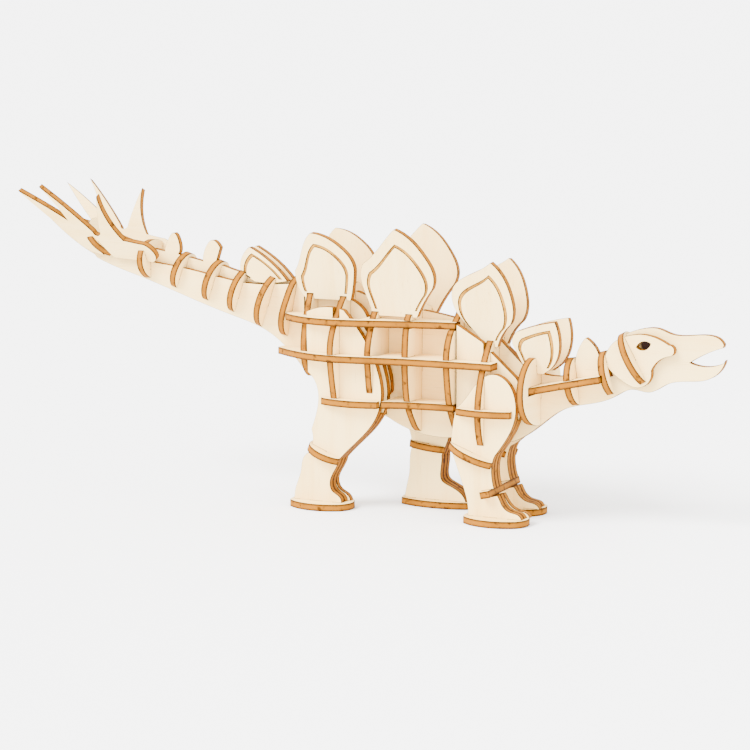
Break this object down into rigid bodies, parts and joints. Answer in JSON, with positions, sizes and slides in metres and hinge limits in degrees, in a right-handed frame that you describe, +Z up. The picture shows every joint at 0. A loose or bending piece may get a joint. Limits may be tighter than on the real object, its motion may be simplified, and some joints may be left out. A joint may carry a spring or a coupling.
{
  "type": "wooden stegosaurus puzzle",
  "caption": "Stegosaurus model slotted together from flat plywood ribs, boards, belts, leaning back plates and tail spikes, standing on flat soles.",
  "frame": {"origin": "on the ground under the middle of the length", "axes": "+X from tail to head, +Y to the animal's left, +Z up"},
  "size_m": [0.2668, 0.0392, 0.111],
  "materials": {
    "plywood": "unfinished fine ply with browned edges"
  },
  "bodies": {
    "root": {"back_plate_1_left": "plywood", "back_plate_1_right": "plywood", "back_plate_2_left": "plywood", "back_plate_2_right": "plywood", "back_plate_3_left": "plywood", "back_plate_3_right": "plywood", "back_plate_4_left": "plywood", "back_plate_4_right": "plywood", "back_plate_5_left": "plywood", "back_plate_5_right": "plywood", "belly_belts": "plywood", "body_board": "plywood", "cheek_left": "plywood", "cheek_right": "plywood", "fore_leg_inner_left": "plywood", "fore_leg_inner_right": "plywood", "fore_leg_outer_left": "plywood", "fore_leg_outer_right": "plywood", "foreleg_brace": "plywood", "head_collar": "plywood", "hind_leg_inner_left": "plywood", "hind_leg_inner_right": "plywood", "hind_leg_outer_left": "plywood", "hind_leg_outer_right": "plywood", "hip_belts": "plywood", "hip_board_left": "plywood", "hip_board_right": "plywood", "knee_plates": "plywood", "middle_belt_left": "plywood", "middle_belt_right": "plywood", "neck_ring_1": "plywood", "neck_ring_2": "plywood", "neck_strips": "plywood", "rib_1": "plywood", "rib_2": "plywood", "rib_3": "plywood", "rib_4": "plywood", "rib_5": "plywood", "rib_6": "plywood", "rib_7": "plywood", "rib_8": "plywood", "shin_spacers": "plywood", "shoulder_belts": "plywood", "soles": "plywood", "tail_board": "plywood", "tail_ring_1": "plywood", "tail_ring_2": "plywood", "tail_ring_3": "plywood", "tail_ring_4": "plywood", "tail_ring_5": "plywood", "tail_ring_6": "plywood", "tail_side_board_left": "plywood", "tail_side_board_right": "plywood", "tail_spikes_left": "plywood", "tail_spikes_right": "plywood", "upper_belt_left": "plywood", "upper_belt_right": "plywood"}
  },
  "joints": []
}
